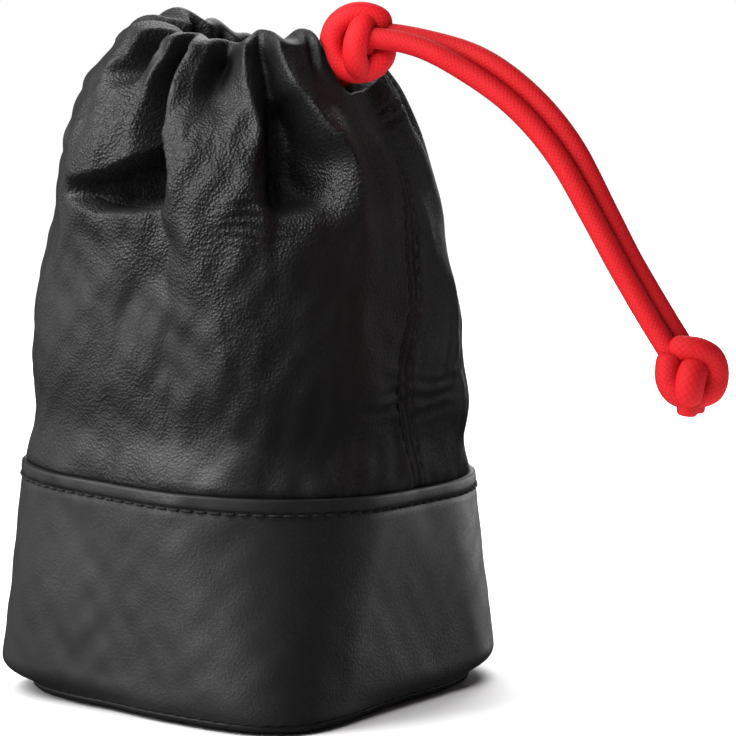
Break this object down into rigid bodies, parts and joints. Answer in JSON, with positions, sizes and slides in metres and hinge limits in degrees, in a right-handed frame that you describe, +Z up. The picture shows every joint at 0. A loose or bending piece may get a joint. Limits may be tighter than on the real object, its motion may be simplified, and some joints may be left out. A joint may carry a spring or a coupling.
{
  "type": "lens pouch",
  "caption": "Padded leather drawstring pouch for a camera lens: smooth square base band, gathered pebbled upper, cord with a slide knot and a knotted pull.",
  "frame": {"origin": "middle of the underside, on the surface that the pouch stands on", "axes": "+Z up, +X towards the side seam and the cord's exit, -Y the front"},
  "size_m": [0.1448, 0.085, 0.1353],
  "materials": {
    "sleeve_leather": "black pebbled leather, soft sheen",
    "band_leather": "black leather with a fine grain, soft sheen",
    "black_thread": "bonded black thread",
    "lining_cloth": "dark brushed lining",
    "padding_foam": "grey closed-cell foam",
    "fibre_board": "brown fibre board",
    "red_cord": "bright red braided nylon cord"
  },
  "bodies": {
    "pouch": {"base_panel": "sleeve_leather", "base_board": "fibre_board", "base_pad": "padding_foam", "lining_floor": "lining_cloth", "base_band": "band_leather", "band_foam": "padding_foam", "upper_sleeve": "sleeve_leather", "lining_sleeve": "lining_cloth", "side_seam_tape": "lining_cloth", "side_stitch_front": "black_thread", "side_stitch_back": "black_thread", "drawcord_loop": "red_cord", "band_topstitch": "black_thread", "casing_stitch": "black_thread", "base_stitch": "black_thread"},
    "pull": {"tail_front": "red_cord", "tail_back": "red_cord", "end_knot": "red_cord", "cord_tip_front": "red_cord", "cord_tip_back": "red_cord"},
    "slide_knot": {"slide_knot": "red_cord"}
  },
  "joints": [
    {"name": "pull_swing", "type": "hinge", "parent": "pouch", "child": "pull", "pos_m": [0.0272, 0, 0.12875], "axis": [0, 0, 1], "range_deg": [-60, 60]},
    {"name": "slide_knot_travel", "type": "hinge", "parent": "pull", "child": "slide_knot", "pos_m": [0.0272, 0, 0.07475], "axis": [-0.1392, 0.9903, 0], "range_deg": [0, 50]}
  ]
}
